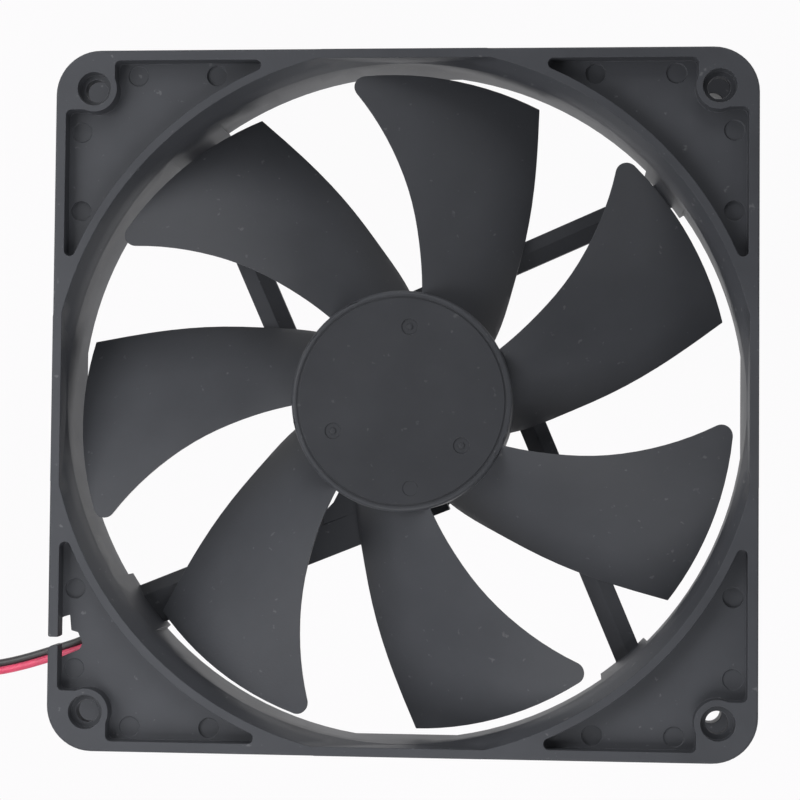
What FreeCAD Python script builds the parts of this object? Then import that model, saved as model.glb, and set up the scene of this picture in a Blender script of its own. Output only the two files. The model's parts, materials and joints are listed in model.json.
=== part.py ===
"""Axial case fan, 140 mm square and 25 mm deep, lying on its back.

Frame: origin at the centre of the back face, X and Y along the sides of the square, and
+Z along the fan's axis out of the front (intake) face. Lengths are in millimetres.
"""
import FreeCAD, Part
import math
import os

os.makedirs("parts", exist_ok=True)

# Driving dimensions: the frame
SIDE = 140.0
DEPTH = 25.0
CORNER_R = 9.0
HOLE_SPACING = 124.5
HOLE_R = 2.25
COUNTERBORE_R = 3.35
COUNTERBORE_DEPTH = 2.5
FLANGE = 5.0
WEB = 1.4
BASE_R = 21.4
BASE_TOP = 4.2
STRUT_TOP = 3.8
RIM = 2.1
RING_R = 71.9
MOUTH_R = 70.3
THROAT_R = 68.17
THROAT_Z = 19.0
OUTLET_R = 69.3
FLAT_FRONT = 68.15
FLAT_BACK = 68.5
# The struts leave the motor base at a tangent: direction, and their two edges' distances
# from the axis, counted towards the side 90 degrees further round.
STRUTS = {"upper_right": (23.9, 15.9, 21.3), "upper_left": (113.9, 15.5, 21.4),
          "lower_right": (292.9, 19.3, 24.9)}
WIRE_STRUT = (202.0, 14.4, 23.4)
WIRE_STRUT_WEB = [(6.0, 12.0), (18.4, 9.3), (20.4, 11.8), (22.0, 13.2), (24.5, 14.3), (25.5, 16.6),
                  (6.0, 17.0)]
CHANNEL_IN, CHANNEL_OUT = 17.2, 21.3
CHANNEL_TOP = 3.0
PAD_R = 68.3
PAD_ENDS = {"upper_right": (-4.4, 5.2), "upper_left": (-5.2, 5.2), "lower_right": (-5.6, 4.2),
            "wire": (-6.2, 5.2)}
LABEL_R = 18.8
LABEL_RECESS = 0.3
BASE_FLOOR = 1.4
PCB_BOTTOM = 3.4
PCB_TOP = 4.4
PCB_R = 19.0
BEARING_TUBE_R = 4.2
TUBE_BOTTOM = 1.0
TUBE_TOP = 16.9
WEB_SLOT = [(-68.2, -43.9), (-66.4, -43.3), (-66.1, -46.4), (-64.7, -46.8), (-63.8, -49.0), (-64.4, -50.2),
            (-68.2, -51.8)]
RIM_GAP = [(-71, -47.0), (-70.0, -47.2), (-69.8, -47.45), (-69.5, -47.5), (-67.4, -47.5), (-67.4, -49.1),
           (-68.9, -49.1), (-69.5, -49.35), (-69.85, -49.8), (-70.05, -50.4), (-71, -50.6)]

# The impeller
HUB_R = 22.0
HUB_TOP = 23.0
FACE_R = 20.9
FACE_STEP = 0.12
HUB_BOTTOM = 5.0
HUB_WALL = 1.4
HUB_ROOF = 1.6
BLADES = 7
BLADE_LEAD_Z = 22.9
BLADE_TRAIL_Z = 5.62
TIP_R_LEAD = 65.4
TIP_R_TRAIL = 66.6
TIP_CORNER_R = 2.3
ROOT_DROP = 0.8
# Blade edges in plan: distance from the axis and angle. The trailing edge is the deep one.
TRAIL_EDGE = [(18, 30.5), (22, 36.2), (26, 41.4), (32, 47.9), (40, 53.7), (48, 58.2), (56, 62.1), (64, 65.4),
              (68.5, 67.0)]
LEAD_EDGE = [(18, 78.0), (22, 79.8), (26, 81.55), (32, 84.2), (40, 87.65), (48, 91.5), (56, 95.55), (64, 99.85),
             (68.5, 102.4)]
BLADE_CAMBER = 0.22
BOSS_R = 3.2
BOSS_BOTTOM = 17.6

# The motor
SHAFT_R = 1.5
SHAFT_CLEARANCE = 0.02
INSERT_R = 2.4
SHAFT_TOP = 22.2
SHAFT_BOTTOM = 1.9
YOKE_WALL = 0.8
YOKE_BOTTOM = 6.2
MAGNET_R = 18.0
MAGNET_Z = (6.8, 18.6)
CLIP_Z = (2.7, 3.1)
CLIP_GROOVE_R = 1.1
CORE_Z = (8.6, 16.6)
CORE_HUB_R = 6.6
CORE_ARM = 4.4
SHOE_IN, SHOE_OUT = 15.4, 17.4
SHOE_HALF_ANGLE = 37.0
INSULATOR = 0.6
INSULATOR_END = 0.9
COIL_IN, COIL_OUT = 7.0, 14.2
COIL_BUILD = 1.6
PIN_R = 8.8
PIN_ANGLES = (45, 135, 315)
# Small parts on the circuit board: size, then distance from the axis and angle
BOARD_PARTS = {
    "hall_driver_chip": (4.0, 3.0, 1.4, 14.6, 45),
    "supply_capacitor": (3.2, 1.6, 1.5, 15.0, 135),
    "polarity_diode": (3.8, 2.0, 1.3, 14.6, 225),
    "sense_resistor": (2.0, 1.25, 0.6, 15.2, 315),
}

# The leads, their coil and the connector
WIRE_R = 0.8
WIRE_PITCH = 1.66
# A lead's route inside the frame, as distance along the wire strut, distance to its side
# and height; and outside the frame, as x, y and height. Both are for the black lead; the
# red one lies beside it, WIRE_PITCH further from the strut's near edge.
INNER_ROUTE = [(-6.0, 14.6, 2.55), (1.0, 16.4, 2.55), (11.0, 18.15, 2.0), (24.0, 18.2, 1.95), (38.0, 18.15, 2.0),
               (50.0, 18.2, 1.95), (58.5, 18.4, 2.0), (67.5, 18.9, 2.2), (72.0, 19.4, 5.0)]
OUTER_ROUTE = [(-66.3, -49.25, 6.3), (-73.0, -51.48, 6.4), (-80.0, -53.7, 5.9), (-86.5, -55.15, 4.4),
               (-93.0, -55.6, 2.6), (-99.2, -55.2, 1.2), (-104.5, -54.95, 0.85)]
SECOND_LEAD_LIFT = (0.5, 0.7, 0.7, 0.6, 0.3, 0.0, 0.0)
COIL_CENTRE = (-106.0, -43.3)
COIL_R = 12.5
COIL_HEIGHT = 7.0
CONNECTOR = (5.0, 14.0, 5.8)
TAIL = 16.0

UP = FreeCAD.Vector(0, 0, 1)


def vec(x, y, z=0.0):
    return FreeCAD.Vector(x, y, z)


def polar(r, degrees, z=0.0):
    return vec(r * math.cos(math.radians(degrees)), r * math.sin(math.radians(degrees)), z)


def disc(r, z0, z1, x=0.0, y=0.0):
    return Part.makeCylinder(r, z1 - z0, vec(x, y, z0))


def tube(r_in, r_out, z0, z1):
    return disc(r_out, z0, z1).cut(disc(r_in, z0, z1))


def box(x0, x1, y0, y1, z0, z1):
    return Part.makeBox(x1 - x0, y1 - y0, z1 - z0, vec(x0, y0, z0))


def prism(points, z0, z1):
    """The solid over a closed outline of (x, y) points."""
    outline = Part.makePolygon([vec(x, y, z0) for x, y in points + points[:1]])
    return Part.Face(outline).extrude(vec(0, 0, z1 - z0))


def revolved(points):
    """The solid swept about the Z axis by a closed outline of (r, z) points."""
    outline = Part.makePolygon([vec(r, 0, z) for r, z in points + points[:1]])
    return Part.Face(outline).revolve(vec(0, 0), UP, 360)


def turned(shape, degrees):
    copy = shape.copy()
    copy.rotate(vec(0, 0), UP, degrees)
    return copy


def rounded_square(half, corner, z0, z1):
    block = box(-half, half, -half, half, z0, z1)
    uprights = [e for e in block.Edges if abs(e.Vertexes[0].Z - e.Vertexes[1].Z) > 0.5 * (z1 - z0)]
    return block.makeFillet(corner, uprights)


def joined(shapes):
    return shapes[0].fuse(shapes[1:]).removeSplitter()


def save(name, shape):
    solid = shape.Solids[0] if len(shape.Solids) == 1 else shape
    print(name, "solids", len(shape.Solids), "valid", shape.isValid(), "mm3", round(shape.Volume, 1))
    solid.exportStep("parts/" + name + ".step")


# Frame ------------------------------------------------------------------------------------


def on_strut(direction, along, across, z=0.0):
    """The point so far along a strut and so far to its side."""
    return polar(along, direction, z) + polar(across, direction + 90)


def strut_block(direction, s0, s1, o0, o1, z0, z1):
    corners = [on_strut(direction, s, o) for s, o in ((s0, o0), (s1, o0), (s1, o1), (s0, o1))]
    return prism([(c.x, c.y) for c in corners], z0, z1)


def strut(direction, inner, outer, slope_width):
    """A bar from the motor base to the ring: flat on top, sloping down to its near edge."""
    section = [(inner, 0), (outer, 0), (outer, STRUT_TOP), (inner + slope_width, STRUT_TOP), (inner, 1.4)]
    start = [on_strut(direction, 0, o, z) for o, z in section]
    bar = Part.Face(Part.makePolygon(start + start[:1])).extrude(polar(OUTLET_R + 2, direction))
    return bar


def strut_gusset(direction, inner, outer):
    """The wedge that leads the motor base's rim out to a strut's outer edge."""
    reach = math.sqrt(BASE_R ** 2 - 18.0 ** 2)
    corners = [(-reach, 18.0), (0, inner), (6, inner), (6, outer), (0, 0.5 * (BASE_R + outer))]
    points = [on_strut(direction, s, o) for s, o in corners]
    return prism([(p.x, p.y) for p in points], 0, 1.2)


def root_pad(direction, inner, outer, ends):
    """The thickening of the duct wall where a strut meets it, from one angle to another past the strut's middle."""
    angle = direction + math.degrees(math.asin(0.5 * (inner + outer) / OUTLET_R))
    sector = Part.makeCylinder(RING_R - 0.5, THROAT_Z, vec(0, 0, 0), UP, ends[1] - ends[0])
    sector = sector.cut(revolved([(0, -1), (PAD_R, -1), (THROAT_R, THROAT_Z), (0, THROAT_Z)]))
    return turned(sector, angle + ends[0])


def corner_pocket(z0, z1):
    """The cored space in one flange corner (+X +Y), rounded wherever it narrows."""
    inner = SIDE / 2 - RIM
    hole = HOLE_SPACING / 2
    outline = box(0, inner, 0, inner, 0, 1).cut(disc(RING_R + 0.1, -1, 2))
    boss = disc(4.65, -1, 2, hole, hole)
    boss = boss.fuse([box(hole - 4.2, SIDE, hole, SIDE, -1, 2), box(hole, SIDE, hole - 4.2, SIDE, -1, 2)])
    outline = outline.cut(boss)
    floor = [f for f in outline.Faces if f.BoundBox.ZMax < 0.001][0]
    rounded = floor.makeOffset2D(-1.1).makeOffset2D(1.1)
    rounded.translate(vec(0, 0, z0))
    return Part.Face(rounded.Wires[0]).extrude(vec(0, 0, z1 - z0))


def make_frame():
    flange = rounded_square(SIDE / 2, CORNER_R, 0, FLANGE)
    rims = [e for e in flange.Edges if abs(e.BoundBox.ZMax - e.BoundBox.ZMin) < 0.01 and e.BoundBox.ZMin < 0.01]
    flange = flange.makeChamfer(0.3, rims)
    front_flange = flange.mirror(vec(0, 0, DEPTH / 2), UP)
    ring = disc(RING_R, 0, DEPTH).common(box(-SIDE / 2, SIDE / 2, -SIDE / 2, SIDE / 2, 0, DEPTH))
    body = joined([flange, front_flange, ring])

    mouth_slope = (MOUTH_R - THROAT_R) / (DEPTH - THROAT_Z)
    outlet_slope = (OUTLET_R - THROAT_R) / THROAT_Z
    duct = revolved([(0, -1), (OUTLET_R + outlet_slope, -1), (THROAT_R, THROAT_Z),
                     (MOUTH_R + mouth_slope, DEPTH + 1), (0, DEPTH + 1)])
    squares = []
    for half, z in ((FLAT_BACK, -1), (FLAT_FRONT, DEPTH + 1)):
        corners = [vec(x * half, y * half, z) for x, y in ((-1, -1), (1, -1), (1, 1), (-1, 1), (-1, -1))]
        squares.append(Part.makePolygon(corners))
    duct = duct.common(Part.makeLoft(squares, True, True))
    body = body.cut(duct)

    pocket = corner_pocket(DEPTH - FLANGE + WEB, DEPTH + 1)
    back_pocket = corner_pocket(-1, FLANGE - WEB)
    hole = HOLE_SPACING / 2
    cuts = []
    for quarter in range(4):
        cuts.append(turned(pocket, 90 * quarter))
        cuts.append(turned(back_pocket, 90 * quarter))
        cuts.append(turned(disc(HOLE_R, -1, DEPTH + 1, hole, hole), 90 * quarter))
        cuts.append(turned(disc(COUNTERBORE_R, DEPTH - COUNTERBORE_DEPTH, DEPTH + 1, hole, hole), 90 * quarter))
        for near, far, sink in ((65.4, 54.0, 0.3), (65.4, 38.0, 0.6)):
            for x, y in ((near, far), (far, near)):
                mark = disc(2.0, DEPTH - FLANGE + WEB - sink, DEPTH - 2, x, y)
                cuts.append(turned(mark, 90 * quarter))
    body = body.cut(cuts)

    # The motor base with its open struts, and the wide strut that carries the leads
    parts = [body, disc(BASE_R, 0, BASE_TOP)]
    for place, (direction, inner, outer) in STRUTS.items():
        parts.append(strut(direction, inner, outer, 2.9))
        parts.append(strut_gusset(direction, inner, outer))
        parts.append(root_pad(direction, inner, outer, PAD_ENDS[place]))
    direction, inner, outer = WIRE_STRUT
    parts.append(strut(direction, inner, outer, 2.4))
    parts.append(strut_gusset(direction, inner, outer))
    parts.append(root_pad(direction, inner, outer, PAD_ENDS["wire"]))
    web = [on_strut(direction, along, across) for along, across in WIRE_STRUT_WEB]
    parts.append(prism([(p.x, p.y) for p in web], 0, STRUT_TOP))
    body = joined(parts)

    hollows = [disc(LABEL_R + 0.2, -1, LABEL_RECESS),
               disc(BASE_R - 1.8, PCB_BOTTOM, BASE_TOP + 1),
               tube(BEARING_TUBE_R + 1.4, BASE_R - 3.2, BASE_FLOOR, BASE_TOP + 1),
               disc(BEARING_TUBE_R + 1.5, PCB_BOTTOM - 0.2, BASE_TOP + 1),
               disc(BEARING_TUBE_R, TUBE_BOTTOM, BASE_TOP + 1)]
    # The leads' way: out of the base, along the strut, through the ring and up through the back web
    hollows.append(strut_block(direction, -3.0, 12.0, CHANNEL_IN - 2.2, CHANNEL_OUT + 0.2, 1.1, PCB_BOTTOM))
    hollows.append(strut_block(direction, 9.0, 66.5, CHANNEL_IN, CHANNEL_OUT, -1, CHANNEL_TOP))
    hollows.append(strut_block(direction, 56.0, 67.0, CHANNEL_IN, CHANNEL_OUT + 0.6, 0.9, 3.2))
    hollows.append(strut_block(direction, 66.8, 68.3, CHANNEL_IN + 0.2, CHANNEL_OUT + 1.2, 0.9, 3.75))
    hollows.append(strut_block(direction, 68.0, 79.5, CHANNEL_IN + 0.4, CHANNEL_OUT + 1.9, 0.9, 5.8))
    # Slot in the front web and gap in its rim, over the leads
    hollows.append(prism(WEB_SLOT, DEPTH - FLANGE - 1, DEPTH - FLANGE + WEB + 1))
    hollows.append(prism(RIM_GAP, DEPTH - FLANGE - 1, DEPTH + 1))
    hollows.append(box(-SIDE / 2 - 1, -66.5, -49.6, -46.3, -1, FLANGE + 1))
    return body.cut(hollows)


# Impeller ---------------------------------------------------------------------------------


def edge_angle(edge, r):
    """The edge's angle at a distance from the axis, by straight lines between its points."""
    for (r0, a0), (r1, a1) in zip(edge, edge[1:]):
        if r <= r1:
            return a0 + (a1 - a0) * (r - r0) / (r1 - r0)
    return edge[-1][1]


def blade_point(r, share, side):
    """A point of a blade's face: share runs from the trailing edge (0) to the leading edge (1)."""
    angle = edge_angle(TRAIL_EDGE, r) + share * (edge_angle(LEAD_EDGE, r) - edge_angle(TRAIL_EDGE, r))
    rise = share + BLADE_CAMBER * share * (1 - share)
    middle = BLADE_TRAIL_Z + rise * (BLADE_LEAD_Z - BLADE_TRAIL_Z)
    middle -= ROOT_DROP * share * min(1.0, max(0.0, (29.0 - r) / 6.0))
    body = max(0.0, math.sin(math.pi * min(1.0, max(0.0, share)) ** 0.8))
    root = max(0.0, (40.0 - r) / 20.0)
    half = 0.5 + 0.45 * body + 0.15 * root
    return polar(r, angle, middle + side * half)


def blade_slab():
    radii = [19.0, 24.0, 30.0, 37.0, 44.0, 51.0, 58.0, 64.0, 68.4]
    shares = [-0.08 + 1.16 * i / 8 for i in range(9)]
    faces = []
    bounds = []
    for side in (-1, 1):
        surface = Part.BSplineSurface()
        surface.interpolate([[blade_point(r, share, side) for share in shares] for r in radii])
        faces.append(surface.toShape())
        u0, u1, v0, v1 = surface.bounds()
        bounds.append([surface.uIso(u0).toShape(), surface.vIso(v1).toShape(), surface.uIso(u1).toShape(),
                       surface.vIso(v0).toShape()])
    for low, high in zip(*bounds):
        faces.append(Part.makeRuledSurface(low, high))
    shell = Part.makeShell(faces)
    shell.sewShape()
    solid = Part.makeSolid(shell)
    if solid.Volume < 0:
        solid.reverse()
    return solid


def spline_edge(points):
    curve = Part.BSplineCurve()
    curve.interpolate(points)
    return curve.toShape()


def blade_outline():
    root_r = HUB_R - 0.7
    lead_radii = [root_r, 26, 32, 40, 48, 56, TIP_R_LEAD]
    trail_radii = [root_r, 26, 32, 40, 48, 56, TIP_R_TRAIL]
    lead = [polar(r, edge_angle(LEAD_EDGE, r)) for r in lead_radii]
    trail = [polar(r, edge_angle(TRAIL_EDGE, r)) for r in trail_radii]
    tip = []
    for i in range(7):
        share = i / 6
        r = TIP_R_TRAIL + share * (TIP_R_LEAD - TIP_R_TRAIL)
        a0 = edge_angle(TRAIL_EDGE, TIP_R_TRAIL)
        a1 = edge_angle(LEAD_EDGE, TIP_R_LEAD)
        tip.append(polar(r, a0 + share * (a1 - a0)))
    root_mid = polar(root_r, 0.5 * (edge_angle(LEAD_EDGE, root_r) + edge_angle(TRAIL_EDGE, root_r)))
    root = Part.Arc(lead[0], root_mid, trail[0]).toShape()
    wire = Part.Wire([spline_edge(trail), spline_edge(tip), spline_edge(lead[::-1]), root])
    block = Part.Face(wire).extrude(vec(0, 0, DEPTH))
    corner = tip[-1]
    uprights = []
    for e in block.Edges:
        foot = e.Vertexes[0].Point
        if e.BoundBox.ZLength > DEPTH / 2 and math.hypot(foot.x - corner.x, foot.y - corner.y) < 0.01:
            uprights.append(e)
    return block.makeFillet(TIP_CORNER_R, uprights)


def make_impeller():
    roof = HUB_TOP - HUB_ROOF
    shoulder = HUB_TOP - FACE_STEP
    cup = disc(HUB_R, HUB_BOTTOM, shoulder)
    rim = [e for e in cup.Edges if abs(e.BoundBox.ZMin - shoulder) < 0.01]
    cup = cup.makeFillet(0.8, rim)
    cup = cup.fuse(disc(FACE_R, shoulder - 1, HUB_TOP))
    cup = cup.cut(tube(FACE_R - 0.4, FACE_R, HUB_TOP - 0.3, HUB_TOP + 1))
    cup = cup.cut(disc(HUB_R - HUB_WALL, HUB_BOTTOM - 1, roof))
    cup = cup.fuse(disc(BOSS_R, BOSS_BOTTOM, roof + 0.1))
    cup = cup.cut(disc(INSERT_R, BOSS_BOTTOM - 1, SHAFT_TOP))
    blade = blade_slab().common(blade_outline())
    shapes = [cup]
    for i in range(BLADES):
        shapes.append(turned(blade, 360.0 / BLADES * i))
    wheel = joined(shapes)
    dimples = []
    for angle in (84, 204, 324):
        at = polar(14.85, angle)
        ring = disc(1.6, HUB_TOP - 0.25, HUB_TOP + 1, at.x, at.y)
        dimples.append(ring.cut(disc(0.6, HUB_TOP - 1, HUB_TOP + 1, at.x, at.y)))
    at = polar(17.4, -83.6)
    dimples.append(disc(1.5, HUB_TOP - 0.1, HUB_TOP + 1, at.x, at.y))
    return wheel.cut(dimples)


# Motor ------------------------------------------------------------------------------------


def sector(r_in, r_out, half_angle, z0, z1):
    ring = Part.makeCylinder(r_out, z1 - z0, vec(0, 0, z0), UP, 2 * half_angle).cut(disc(r_in, z0 - 1, z1 + 1))
    return turned(ring, -half_angle)


def make_stator_core():
    z0, z1 = CORE_Z
    shapes = [tube(BEARING_TUBE_R, CORE_HUB_R, z0, z1)]
    for pole in range(4):
        arm = box(CORE_HUB_R - 0.6, SHOE_IN + 0.3, -CORE_ARM / 2, CORE_ARM / 2, z0, z1)
        shapes.append(turned(arm, 90 * pole))
        shapes.append(turned(sector(SHOE_IN, SHOE_OUT, SHOE_HALF_ANGLE, z0, z1), 90 * pole))
    return joined(shapes)


def make_insulator(core, upper):
    middle = 0.5 * (CORE_Z[0] + CORE_Z[1])
    inner, outer = (CORE_Z[1], CORE_Z[1] + INSULATOR_END) if upper else (CORE_Z[0], CORE_Z[0] - INSULATOR_END)
    low, high = min(middle, outer), max(middle, outer)
    end_low, end_high = min(inner, outer), max(inner, outer)
    half = CORE_ARM / 2 + INSULATOR
    lip_low, lip_high = (outer - 0.1, outer + 1.5) if upper else (outer - 1.2, outer + 0.1)
    shapes = [tube(BEARING_TUBE_R, CORE_HUB_R, end_low, end_high)]
    for pole in range(4):
        shapes.append(turned(box(CORE_HUB_R, SHOE_IN, -half, half, low, high), 90 * pole))
        shapes.append(turned(box(CORE_HUB_R - 1.0, CORE_HUB_R + 0.1, -half, half, end_low, end_high), 90 * pole))
        shapes.append(turned(box(COIL_OUT + 0.2, SHOE_IN, -4.6, 4.6, lip_low, lip_high), 90 * pole))
    if not upper:
        for angle in PIN_ANGLES:
            shapes.append(turned(box(CORE_HUB_R - 0.4, PIN_R + 0.9, -1.0, 1.0, end_low, end_high), angle))
    body = joined(shapes).cut(core)
    return body if upper else body.cut([make_pin(angle) for angle in PIN_ANGLES])


def make_pin(angle):
    return turned(box(PIN_R - 0.3, PIN_R + 0.3, -0.3, 0.3, PCB_BOTTOM - 0.5, CORE_Z[0]), angle)


def make_coil(pole):
    """One winding, wound round an arm of the core."""
    half = CORE_ARM / 2 + INSULATOR
    z0, z1 = CORE_Z[0] - INSULATOR_END, CORE_Z[1] + INSULATOR_END
    outer = box(COIL_IN, COIL_OUT, -half - COIL_BUILD, half + COIL_BUILD, z0 - COIL_BUILD, z1 + COIL_BUILD)
    outer = outer.makeFillet(1.2, [e for e in outer.Edges if e.BoundBox.XLength > 1])
    hole = box(COIL_IN - 1, COIL_OUT + 1, -half, half, z0, z1)
    return turned(outer.cut(hole), 90 * pole)


def make_circuit_board():
    board = disc(PCB_R, PCB_BOTTOM, PCB_TOP).cut(disc(BEARING_TUBE_R + 0.4, 0, PCB_TOP + 1))
    return board.cut([make_pin(angle) for angle in PIN_ANGLES])


def make_board_part(length, width, height, r, angle):
    block = box(r - width / 2, r + width / 2, -length / 2, length / 2, PCB_TOP, PCB_TOP + height)
    return turned(block.makeChamfer(0.12, [e for e in block.Edges if e.BoundBox.ZMin > PCB_TOP + 0.1]), angle)


def make_yoke():
    r = HUB_R - HUB_WALL
    roof = HUB_TOP - HUB_ROOF
    cup = disc(r, YOKE_BOTTOM, roof).cut(disc(r - YOKE_WALL, YOKE_BOTTOM - 1, roof - YOKE_WALL))
    return cup.cut(disc(BOSS_R, 0, DEPTH))


def make_shaft():
    rod = disc(SHAFT_R, SHAFT_BOTTOM, SHAFT_TOP)
    rod = rod.makeChamfer(0.35, [e for e in rod.Edges if e.BoundBox.ZMax < SHAFT_BOTTOM + 0.01])
    return rod.cut(tube(CLIP_GROOVE_R, SHAFT_R + 1, *CLIP_Z))


def make_clip():
    ring = tube(CLIP_GROOVE_R, 2.4, *CLIP_Z)
    return ring.cut(box(0, 4, -0.45, 0.45, 0, DEPTH))


# Leads ------------------------------------------------------------------------------------


def route_tube(points, radius):
    """A round tube along straight runs joined by arcs as large as the runs allow."""
    edges = []
    start = points[0]
    radii = []
    for before, corner, after in zip(points, points[1:], points[2:]):
        way_in = (corner - before).normalize()
        way_out = (after - corner).normalize()
        turn = way_in.getAngle(way_out)
        reach = 0.45 * min(corner.distanceToPoint(before), corner.distanceToPoint(after))
        bend = reach / math.tan(turn / 2)
        first = corner - way_in * reach
        last = corner + way_out * reach
        inward = (way_out - way_in).normalize()
        middle = corner + inward * (bend / math.cos(turn / 2) - bend)
        edges.append(Part.LineSegment(start, first).toShape())
        edges.append(Part.Arc(first, middle, last).toShape())
        radii.append(round(bend, 1))
        start = last
    edges.append(Part.LineSegment(start, points[-1]).toShape())
    path = Part.Wire(edges)
    profile = Part.Wire(Part.makeCircle(radius, points[0], points[1] - points[0]))
    solid = path.makePipeShell([profile], True, True)
    print("  radii", radii, "length", round(path.Length, 1), "volume ratio",
          round(solid.Volume / (math.pi * radius ** 2 * path.Length), 4))
    return solid


def whole_route(offset):
    """A lead's corners from the motor to the coil, and the point where its two lengths meet."""
    inner = [on_strut(WIRE_STRUT[0], s, o + offset, z) for s, o, z in INNER_ROUTE]
    corners = [on_strut(WIRE_STRUT[0], *INNER_ROUTE[-1])] + [vec(*p) for p in OUTER_ROUTE]
    ahead = corners[2:] + [corners[-1] + vec(-1, 0, 0)]
    outer = []
    for before, corner, after, lift in zip(corners, corners[1:], ahead, SECOND_LEAD_LIFT):
        run = vec(after.x - before.x, after.y - before.y, 0).normalize()
        rise = lift * offset / WIRE_PITCH
        outer.append(corner + vec(-run.y, run.x, 0) * math.sqrt(offset ** 2 - rise ** 2) + vec(0, 0, rise))
    return inner, outer, (inner[-1] + outer[0]) * 0.5


def inner_points(offset):
    inner, outer, meeting = whole_route(offset)
    return inner + [meeting]


def outer_points(offset):
    inner, outer, meeting = whole_route(offset)
    return [meeting] + outer


def make_lead_coil():
    x, y = COIL_CENTRE
    ring = disc(COIL_R + WIRE_PITCH + 0.5, 0, COIL_HEIGHT, x, y).cut(disc(COIL_R - WIRE_PITCH - 0.5, -1, 9, x, y))
    return ring.makeFillet(1.0, ring.Edges)


def make_connector(cavities):
    x = COIL_CENTRE[0] - COIL_R
    y = COIL_CENTRE[1] + TAIL
    width, length, height = CONNECTOR
    shell = box(x - width / 2, x + width / 2, y, y + length, 0, height)
    rib = box(x - 0.9, x + 0.9, y + 1.5, y + length - 3, height, height + 0.9)
    return shell.fuse(rib).cut(cavities)


def tail_points(offset):
    """From the coil's far side to the connector's rear face."""
    x = COIL_CENTRE[0] - COIL_R + offset
    y = COIL_CENTRE[1]
    z = 0.5 * CONNECTOR[2]
    return [vec(x, y, COIL_HEIGHT - 1.0), vec(x + 0.1 * offset, y + 5, COIL_HEIGHT - 1.4), vec(x, y + 10.5, z + 0.7),
            vec(x + 0.1 * offset, y + TAIL, z)]


def make_terminal(offset):
    x = COIL_CENTRE[0] - COIL_R + offset * 1.2
    y = COIL_CENTRE[1] + TAIL
    z = 0.5 * CONNECTOR[2]
    return box(x - 0.75, x + 0.75, y + 2.0, y + CONNECTOR[1] - 1.5, z - 0.75, z + 0.75)


# Output -----------------------------------------------------------------------------------

save("frame", make_frame())
save("impeller", make_impeller())
save("rotor_yoke", make_yoke())
save("ring_magnet", tube(MAGNET_R, HUB_R - HUB_WALL - YOKE_WALL, *MAGNET_Z))
save("shaft", make_shaft())
save("shaft_insert", tube(SHAFT_R, INSERT_R, BOSS_BOTTOM, SHAFT_TOP))
save("retaining_clip", make_clip())
save("bearing_tube", tube(BEARING_TUBE_R - 0.8, BEARING_TUBE_R, TUBE_BOTTOM, TUBE_TOP))
save("thrust_plate", disc(BEARING_TUBE_R - 0.8, TUBE_BOTTOM, TUBE_BOTTOM + 0.6))
save("sleeve_bearing", tube(SHAFT_R + SHAFT_CLEARANCE, BEARING_TUBE_R - 0.8, 3.6, 14.6))
save("oil_washer", tube(SHAFT_R + 0.3, BEARING_TUBE_R - 0.8, 14.9, 15.5))
stator_core = make_stator_core()
save("stator_core", stator_core)
save("upper_insulator", make_insulator(stator_core, True))
save("lower_insulator", make_insulator(stator_core, False))
for number in range(4):
    save("winding_%d" % (number + 1), make_coil(number))
for number, pin_angle in enumerate(PIN_ANGLES):
    save("terminal_pin_%d" % (number + 1), make_pin(pin_angle))
save("circuit_board", make_circuit_board())
for part_name, sizes in BOARD_PARTS.items():
    save(part_name, make_board_part(*sizes))
save("rear_label", disc(LABEL_R, 0.1, LABEL_RECESS))

lead_coil = make_lead_coil()
save("lead_coil", lead_coil)
cavity_blocks = []
for colour, side in (("black", 0.0), ("red", WIRE_PITCH)):
    save(colour + "_lead_in_strut", route_tube(inner_points(side), WIRE_R))
    save(colour + "_lead", route_tube(outer_points(side), WIRE_R).cut(lead_coil))
    terminal = make_terminal(WIRE_PITCH / 2 - side)
    save(colour + "_terminal", terminal)
    cavity_blocks.append(terminal)
connector = make_connector(cavity_blocks)
save("connector_housing", connector)
for colour, side in (("black", 0.0), ("red", WIRE_PITCH)):
    tail = route_tube(tail_points(WIRE_PITCH / 2 - side), WIRE_R)
    save(colour + "_lead_tail", tail.cut([lead_coil, connector]))
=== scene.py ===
import json
import math

import bpy
from mathutils import Matrix, Vector


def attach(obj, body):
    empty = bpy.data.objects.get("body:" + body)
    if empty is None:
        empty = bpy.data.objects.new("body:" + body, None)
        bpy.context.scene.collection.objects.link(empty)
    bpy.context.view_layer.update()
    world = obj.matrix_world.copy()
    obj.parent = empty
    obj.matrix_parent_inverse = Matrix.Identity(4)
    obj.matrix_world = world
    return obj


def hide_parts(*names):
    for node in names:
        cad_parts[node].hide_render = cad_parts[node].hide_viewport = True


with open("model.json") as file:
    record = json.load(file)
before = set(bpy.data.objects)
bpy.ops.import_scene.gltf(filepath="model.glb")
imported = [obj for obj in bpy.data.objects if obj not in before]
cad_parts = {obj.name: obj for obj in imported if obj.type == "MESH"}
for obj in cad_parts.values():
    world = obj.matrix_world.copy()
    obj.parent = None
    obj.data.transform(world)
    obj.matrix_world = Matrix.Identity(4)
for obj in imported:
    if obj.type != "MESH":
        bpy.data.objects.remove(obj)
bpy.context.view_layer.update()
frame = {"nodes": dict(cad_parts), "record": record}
MM = 0.001


# Camera -----------------------------------------------------------------------------------

CAMERA_AT = Vector((31.465, -15.002, 424.248)) * MM
CAMERA_AIM = Vector((-0.084, 0.117, 25.0)) * MM
CAMERA_ROLL = math.radians(-0.551)


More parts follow.
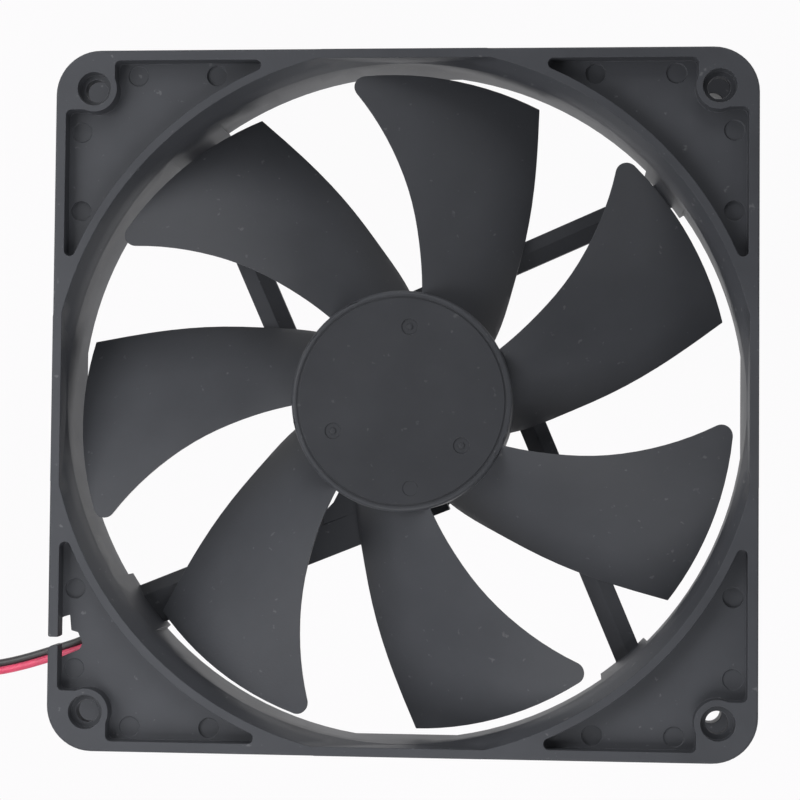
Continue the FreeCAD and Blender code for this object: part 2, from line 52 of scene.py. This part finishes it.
def make_camera():
    data = bpy.data.cameras.new("camera")
    data.sensor_width = 36.0
    data.lens = 91.475
    data.clip_start = 0.01
    camera = bpy.data.objects.new("camera", data)
    bpy.context.scene.collection.objects.link(camera)
    forward = (CAMERA_AIM - CAMERA_AT).normalized()
    level = forward.cross(Vector((0, 1, 0))).normalized()
    upright = level.cross(forward)
    up = upright * math.cos(CAMERA_ROLL) + level * math.sin(CAMERA_ROLL)
    right = forward.cross(up)
    camera.matrix_world = Matrix.Translation(CAMERA_AT) @ Matrix((right, up, -forward)).transposed().to_4x4()
    bpy.context.scene.camera = camera


# Materials --------------------------------------------------------------------------------

# Depth of a fine grain, in metres, and the length of a wave texture's wave at scale 1
FINE_DEPTH = 0.00003
WAVE_LENGTH = 0.314
# Sockets of a Mix node that mixes colours
MIX_A, MIX_B, MIX_RESULT = 6, 7, 2


def new_material(name):
    material = bpy.data.materials.new(name)
    material.use_nodes = True
    return material, material.node_tree, material.node_tree.nodes["Principled BSDF"]


def add_node(tree, kind, **settings):
    node = tree.nodes.new(kind)
    for key, value in settings.items():
        if key in node.inputs:
            node.inputs[key].default_value = value
        else:
            setattr(node, key, value)
    return node


def ramp(tree, source, stops):
    """Colours along a value: stops are (position, colour)."""
    node = tree.nodes.new("ShaderNodeValToRGB")
    elements = node.color_ramp.elements
    while len(elements) < len(stops):
        elements.new(0.5)
    for element, (position, colour) in zip(elements, stops):
        element.position = position
        element.color = (*colour, 1.0)
    tree.links.new(source, node.inputs["Fac"])
    return node.outputs["Color"]


def add_bump(tree, shader, height, strength, distance):
    bump = add_node(tree, "ShaderNodeBump", Strength=strength, Distance=distance)
    tree.links.new(height, bump.inputs["Height"])
    tree.links.new(bump.outputs["Normal"], shader.inputs["Normal"])
    return bump


def object_coordinates(tree):
    return tree.nodes.new("ShaderNodeTexCoord").outputs["Object"]


def scaled(colour, factor):
    return tuple(c * factor for c in colour)


def moulded_plastic(name, colour, rough, grain=2600.0, spread=0.12, shine_level=0.5, dust=0.0):
    """Moulded plastic: cloudy colour, a fine grain, patches that are a little smoother and specks of dust."""
    material, tree, shader = new_material(name)
    where = object_coordinates(tree)
    cloud = add_node(tree, "ShaderNodeTexNoise", Scale=34.0, Detail=5.0, Roughness=0.6)
    fine = add_node(tree, "ShaderNodeTexNoise", Scale=grain, Detail=3.0)
    tree.links.new(where, cloud.inputs["Vector"])
    tree.links.new(where, fine.inputs["Vector"])
    low, high = scaled(colour, 1 - spread), scaled(colour, 1 + spread)
    tone = ramp(tree, cloud.outputs["Fac"], [(0.3, low), (0.7, high)])
    if dust:
        specks = add_node(tree, "ShaderNodeTexNoise", Scale=620.0, Detail=2.0)
        tree.links.new(where, specks.inputs["Vector"])
        amount = ramp(tree, specks.outputs["Fac"], [(0.70, (0.0, 0.0, 0.0)), (0.76, (dust, dust, dust))])
        mix = add_node(tree, "ShaderNodeMix", data_type="RGBA", blend_type="ADD")
        mix.inputs["Factor"].default_value = 1.0
        tree.links.new(tone, mix.inputs[MIX_A])
        tree.links.new(amount, mix.inputs[MIX_B])
        tone = mix.outputs[MIX_RESULT]
    tree.links.new(tone, shader.inputs["Base Color"])
    shader.inputs["Specular IOR Level"].default_value = shine_level
    shine = add_node(tree, "ShaderNodeMapRange", **{"From Min": 0.35, "From Max": 0.65,
                                                    "To Min": rough - 0.04, "To Max": rough + 0.05})
    tree.links.new(cloud.outputs["Fac"], shine.inputs["Value"])
    tree.links.new(shine.outputs["Result"], shader.inputs["Roughness"])
    shader.inputs["IOR"].default_value = 1.5
    add_bump(tree, shader, fine.outputs["Fac"], 0.5, FINE_DEPTH)
    return material


def worked_metal(name, colour, rough, lines_along="Z"):
    """Turned or drawn metal with fine lines round or along it."""
    material, tree, shader = new_material(name)
    where = object_coordinates(tree)
    squeeze = {"X": (30.0, 1.0, 1.0), "Z": (1.0, 1.0, 30.0)}[lines_along]
    stretch = add_node(tree, "ShaderNodeMapping", Scale=squeeze)
    tree.links.new(where, stretch.inputs["Vector"])
    lines = add_node(tree, "ShaderNodeTexNoise", Scale=90.0, Detail=4.0)
    tree.links.new(stretch.outputs["Vector"], lines.inputs["Vector"])
    shade = ramp(tree, lines.outputs["Fac"], [(0.3, scaled(colour, 0.82)), (0.7, scaled(colour, 1.08))])
    tree.links.new(shade, shader.inputs["Base Color"])
    shader.inputs["Metallic"].default_value = 1.0
    shader.inputs["Roughness"].default_value = rough
    add_bump(tree, shader, lines.outputs["Fac"], 0.3, FINE_DEPTH)
    return material


def striped(name, colour, metallic, rough, direction, pitch, depth):
    """Layers or turns of wire: ridges at a pitch along one axis."""
    material, tree, shader = new_material(name)
    wave = add_node(tree, "ShaderNodeTexWave", Scale=WAVE_LENGTH / pitch, Distortion=0.3, Detail=1.0,
                    wave_type="BANDS", bands_direction=direction)
    tree.links.new(object_coordinates(tree), wave.inputs["Vector"])
    shade = ramp(tree, wave.outputs["Fac"], [(0.0, scaled(colour, 0.45)), (0.6, colour)])
    tree.links.new(shade, shader.inputs["Base Color"])
    shader.inputs["Metallic"].default_value = metallic
    shader.inputs["Roughness"].default_value = rough
    add_bump(tree, shader, wave.outputs["Fac"], 0.8, depth)
    return material


def circuit_board_material():
    """Green solder resist over tracks that run round the shaft."""
    material, tree, shader = new_material("board")
    rings = add_node(tree, "ShaderNodeTexWave", Scale=160.0, Distortion=2.5,
                     wave_type="RINGS", rings_direction="Z")
    tree.links.new(object_coordinates(tree), rings.inputs["Vector"])
    shade = ramp(tree, rings.outputs["Fac"], [(0.35, (0.012, 0.10, 0.035)), (0.5, (0.03, 0.19, 0.07))])
    tree.links.new(shade, shader.inputs["Base Color"])
    shader.inputs["Roughness"].default_value = 0.28
    add_bump(tree, shader, rings.outputs["Fac"], 0.4, 0.00004)
    return material


def vinyl(name, colour):
    """Wire insulation: a slight sheen and faint drawing marks."""
    material, tree, shader = new_material(name)
    marks = add_node(tree, "ShaderNodeTexNoise", Scale=420.0, Detail=3.0)
    tree.links.new(object_coordinates(tree), marks.inputs["Vector"])
    shade = ramp(tree, marks.outputs["Fac"], [(0.3, scaled(colour, 0.86)), (0.7, scaled(colour, 1.1))])
    tree.links.new(shade, shader.inputs["Base Color"])
    shader.inputs["Roughness"].default_value = 0.42
    add_bump(tree, shader, marks.outputs["Fac"], 0.25, 0.00004)
    return material


# Width over which a darkened band fades in, in metres
DARKENING_EDGE = 0.0008


def rising(tree, source, start, end):
    """0 to 1 as a value goes from start to end."""
    node = add_node(tree, "ShaderNodeMapRange", **{"From Min": start, "From Max": end})
    tree.links.new(source, node.inputs["Value"])
    return node.outputs["Result"]


def product(tree, first, second):
    node = add_node(tree, "ShaderNodeMath", operation="MULTIPLY")
    tree.links.new(first, node.inputs[0])
    tree.links.new(second, node.inputs[1])
    return node.outputs["Value"]


def darkened_band(material, factor, inner, outer, top):
    """Base colour darkened between two distances from the fan's axis and below a height."""
    tree = material.node_tree
    shader = tree.nodes["Principled BSDF"]
    before = shader.inputs["Base Color"].links[0].from_socket
    where = object_coordinates(tree)
    flatten = add_node(tree, "ShaderNodeVectorMath", operation="MULTIPLY")
    flatten.inputs[1].default_value = (1.0, 1.0, 0.0)
    tree.links.new(where, flatten.inputs[0])
    length = add_node(tree, "ShaderNodeVectorMath", operation="LENGTH")
    tree.links.new(flatten.outputs["Vector"], length.inputs[0])
    radius = length.outputs["Value"]
    apart = tree.nodes.new("ShaderNodeSeparateXYZ")
    tree.links.new(where, apart.inputs["Vector"])
    outside = rising(tree, radius, inner, inner + DARKENING_EDGE)
    inside = rising(tree, radius, outer, outer - DARKENING_EDGE)
    below = rising(tree, apart.outputs["Z"], top, top - DARKENING_EDGE)
    amount = product(tree, product(tree, outside, inside), below)
    dark = add_node(tree, "ShaderNodeVectorMath", operation="SCALE", Scale=factor)
    tree.links.new(before, dark.inputs[0])
    mix = add_node(tree, "ShaderNodeMix", data_type="RGBA")
    tree.links.new(amount, mix.inputs["Factor"])
    tree.links.new(before, mix.inputs[MIX_A])
    tree.links.new(dark.outputs["Vector"], mix.inputs[MIX_B])
    tree.links.new(mix.outputs[MIX_RESULT], shader.inputs["Base Color"])


DARK = (0.0608, 0.0636, 0.0722)
MATERIALS = {
    "frame_plastic": moulded_plastic("frame_plastic", DARK, 0.50, shine_level=0.22, dust=0.05),
    "impeller_plastic": moulded_plastic("impeller_plastic", scaled(DARK, 0.94), 0.46, grain=1900.0,
                                        shine_level=0.22, dust=0.04),
    "steel": worked_metal("steel", (0.52, 0.52, 0.51), 0.33),
    "shaft_steel": worked_metal("shaft_steel", (0.62, 0.62, 0.63), 0.18),
    "core_steel": striped("core_steel", (0.30, 0.31, 0.33), 1.0, 0.42, "Z", 0.0005, 0.00008),
    "magnet": moulded_plastic("magnet", (0.045, 0.044, 0.044), 0.62, grain=1500.0),
    "brass": worked_metal("brass", (0.74, 0.54, 0.22), 0.26),
    "bronze": worked_metal("bronze", (0.50, 0.34, 0.17), 0.45),
    "clip_plastic": moulded_plastic("clip_plastic", (0.78, 0.76, 0.70), 0.42, spread=0.04),
    "copper": striped("copper", (0.70, 0.27, 0.10), 1.0, 0.28, "DIAGONAL", 0.00022, 0.00006),
    "insulator": moulded_plastic("insulator", (0.74, 0.73, 0.68), 0.40, spread=0.04),
    "board": circuit_board_material(),
    "chip": moulded_plastic("chip", (0.022, 0.022, 0.024), 0.48, grain=4200.0),
    "ceramic": moulded_plastic("ceramic", (0.38, 0.26, 0.15), 0.36, spread=0.06),
    "label": moulded_plastic("label", (0.66, 0.67, 0.68), 0.34, grain=900.0, spread=0.03),
    "red_wire": vinyl("red_wire", (0.73, 0.08, 0.16)),
    "black_wire": vinyl("black_wire", (0.05, 0.05, 0.052)),
    "lead_mixed": vinyl("lead_mixed", (0.3, 0.03, 0.04)),
    "tin": worked_metal("tin", (0.72, 0.70, 0.66), 0.24, lines_along="X"),
    "connector": moulded_plastic("connector", (0.80, 0.79, 0.74), 0.38, spread=0.03),
}
# The hub's face made darker
darkened_band(MATERIALS["impeller_plastic"], 0.72, inner=-0.001, outer=0.0217, top=1.0)
# Painted shade on the duct's wall below the mouth
darkened_band(MATERIALS["frame_plastic"], 0.8, inner=0.066, outer=0.0698, top=0.019)


def dress_cad_nodes():
    for entry in frame["record"]["subparts"]:
        piece = frame["nodes"][entry["node"]]
        piece.data.materials.clear()
        piece.data.materials.append(MATERIALS[entry["material_slot"]])


# Edges that catch the light: width of the rounding on each CAD node, in millimetres
ROUNDED = {"frame": 0.14, "impeller": 0.1, "connector_housing": 0.25}


def round_edges():
    for name, width in ROUNDED.items():
        piece = frame["nodes"][name]
        weld = piece.modifiers.new("weld", "WELD")
        weld.merge_threshold = 0.000002
        flat = piece.modifiers.new("flat", "DECIMATE")
        flat.decimate_type = "DISSOLVE"
        flat.angle_limit = math.radians(0.6)
        bevel = piece.modifiers.new("bevel", "BEVEL")
        bevel.width = width * MM
        bevel.segments = 2
        bevel.limit_method = "ANGLE"
        bevel.angle_limit = math.radians(38)
        bevel.use_clamp_overlap = False
        bevel.harden_normals = False
        for face in piece.data.polygons:
            face.use_smooth = True
        smooth = piece.modifiers.new("normals", "WEIGHTED_NORMAL")
        smooth.keep_sharp = True


# Leads ------------------------------------------------------------------------------------

# Millimetres. The routes are the black lead's, and the red one lies beside it.
WIRE_R = 0.8
WIRE_PITCH = 1.66
STRUT_DIRECTION = math.radians(202.0)
STRUT_END = (72.0, 19.4, 5.0)
SECOND_LEAD_LIFT = (0.5, 0.7, 0.7, 0.6, 0.3, 0.0, 0.0)
OUTER_ROUTE = [(-66.3, -49.25, 6.3), (-73.0, -51.48, 6.4), (-80.0, -53.7, 5.9), (-86.5, -55.15, 4.4),
               (-93.0, -55.6, 2.6), (-99.2, -55.2, 1.2), (-104.5, -54.95, 0.85)]
COIL_CENTRE = (-106.0, -43.3)
COIL_R = 12.5
TURNS = 3.25
POINTS_PER_TURN = 16
COIL_BED = 0.85
CLIMB_FROM = 0.06
COIL_HEIGHT = 7.0
CONNECTOR_HEIGHT = 5.8
# From the coil's last turn to the connector: share of the lead's distance from the pair's
# middle, distance along Y, and height
TAIL_ROUTE = [(0.0, 0.0, COIL_HEIGHT - 1.0), (0.1, 5.0, COIL_HEIGHT - 1.4),
              (0.0, 10.5, CONNECTOR_HEIGHT / 2 + 0.7), (0.1, 16.0, CONNECTOR_HEIGHT / 2)]


def strut_end(side):
    """The lead's last corner inside the frame."""
    along, across, height = STRUT_END
    across += side
    cos, sin = math.cos(STRUT_DIRECTION), math.sin(STRUT_DIRECTION)
    return Vector((along * cos - across * sin, along * sin + across * cos, height))


def way_out(side):
    """From the point hidden under the front web to the coil, offset to the side."""
    corners = [strut_end(0.0)] + [Vector(p) for p in OUTER_ROUTE]
    ahead = corners[2:] + [corners[-1] + Vector((-1, 0, 0))]
    points = []
    for before, corner, after, lift in zip(corners, corners[1:], ahead, SECOND_LEAD_LIFT):
        run = (after - before).to_2d().normalized()
        rise = lift * side / WIRE_PITCH
        beside = Vector((-run.y, run.x, 0)) * math.sqrt(side ** 2 - rise ** 2)
        points.append(corner + beside + Vector((0, 0, rise)))
    return [(strut_end(side) + points[0]) / 2] + points


def coil_points(radius):
    """Clockwise turns, each lying on the one before, from the coil's near side to its left side."""
    points = []
    for i in range(1, round(TURNS * POINTS_PER_TURN)):
        turned = i / POINTS_PER_TURN
        angle = math.radians(-90.0 - 360.0 * turned)
        x = COIL_CENTRE[0] + radius * math.cos(angle)
        y = COIL_CENTRE[1] + radius * math.sin(angle)
        points.append((x, y, COIL_BED + 2 * WIRE_R * max(0.0, turned - CLIMB_FROM)))
    return points


def make_lead(name, side, colour):
    inward = WIRE_PITCH / 2 - side
    x = COIL_CENTRE[0] - COIL_R + inward
    y = COIL_CENTRE[1]
    route = way_out(side) + coil_points(COIL_R - inward)
    route += [(x + share * inward, y + along, height) for share, along, height in TAIL_ROUTE]
    curve = bpy.data.curves.new(name, "CURVE")
    curve.dimensions = "3D"
    spline = curve.splines.new("NURBS")
    spline.points.add(len(route) - 1)
    for point, place in zip(spline.points, route):
        point.co = (*(Vector(place) * MM), 1.0)
    spline.order_u = 3
    spline.use_endpoint_u = True
    spline.resolution_u = 6
    curve.bevel_depth = WIRE_R * MM
    curve.bevel_resolution = 5
    curve.use_fill_caps = True
    curve.materials.append(MATERIALS[colour + "_wire"])
    lead = bpy.data.objects.new(name, curve)
    bpy.context.scene.collection.objects.link(lead)
    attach(lead, "frame_body")
    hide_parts(colour + "_lead", colour + "_lead_tail", "lead_coil")
    return lead


# Studio -----------------------------------------------------------------------------------

FLOOR_HALF = 2.0
# The sheet lies this far under the fan, so that the two don't share a plane
FLOOR_GAP = 0.0001


def make_floor():
    """A white sheet that glows softly, as the shadowless table under a product does."""
    material, tree, shader = new_material("table")
    paper = add_node(tree, "ShaderNodeTexNoise", Scale=6.0, Detail=2.0)
    tree.links.new(object_coordinates(tree), paper.inputs["Vector"])
    tone = ramp(tree, paper.outputs["Fac"], [(0.3, (0.965, 0.96, 0.965)), (0.7, (0.98, 0.972, 0.98))])
    tree.links.new(tone, shader.inputs["Emission Color"])
    shader.inputs["Base Color"].default_value = (0.0, 0.0, 0.0, 1.0)
    shader.inputs["Roughness"].default_value = 1.0
    shader.inputs["Specular IOR Level"].default_value = 0.0
    shader.inputs["Emission Strength"].default_value = 1.0
    mesh = bpy.data.meshes.new("table")
    corners = [(x * FLOOR_HALF, y * FLOOR_HALF, -FLOOR_GAP) for x, y in ((-1, -1), (1, -1), (1, 1), (-1, 1))]
    mesh.from_pydata(corners, [], [(0, 1, 2, 3)])
    mesh.materials.append(material)
    floor = bpy.data.objects.new("table", mesh)
    bpy.context.scene.collection.objects.link(floor)


# Each softbox: azimuth and elevation in degrees, distance and width in metres, and watts
SOFTBOXES = {"right": (0.0, 35.0, 1.6, 0.9, 3.3), "right_back": (45.0, 35.0, 1.6, 0.9, 1.6),
             "back": (90.0, 35.0, 1.6, 0.9, 8.5), "near_right_front": (315.0, 50.0, 0.55, 0.25, 0.08),
             "near_left": (180.0, 45.0, 0.32, 0.2, 0.47), "near_left_front": (225.0, 45.0, 0.3, 0.2, 0.037),
             "near_front": (270.0, 45.0, 0.32, 0.2, 0.49), "near_left_back": (135.0, 45.0, 0.3, 0.2, 0.13)}


def add_softbox(name, azimuth, elevation, distance, width, watts):
    data = bpy.data.lights.new(name, "AREA")
    data.shape = "SQUARE"
    data.size = width
    data.energy = watts
    lamp = bpy.data.objects.new(name, data)
    bpy.context.scene.collection.objects.link(lamp)
    flat = distance * math.cos(math.radians(elevation))
    turn = math.radians(azimuth)
    height = distance * math.sin(math.radians(elevation))
    place = Vector((flat * math.cos(turn), flat * math.sin(turn), height))
    lamp.location = place
    lamp.rotation_euler = place.to_track_quat("Z", "Y").to_euler()


def make_studio():
    world = bpy.data.worlds.new("studio")
    bpy.context.scene.world = world
    world.use_nodes = True
    world.node_tree.nodes["Background"].inputs["Strength"].default_value = 0.0
    for name, settings in SOFTBOXES.items():
        add_softbox(name, *settings)
    bpy.context.scene.view_settings.view_transform = "Standard"


make_camera()
make_lead("black_lead_wire", 0.0, "black")
make_lead("red_lead_wire", WIRE_PITCH, "red")
dress_cad_nodes()
round_edges()
make_floor()
make_studio()
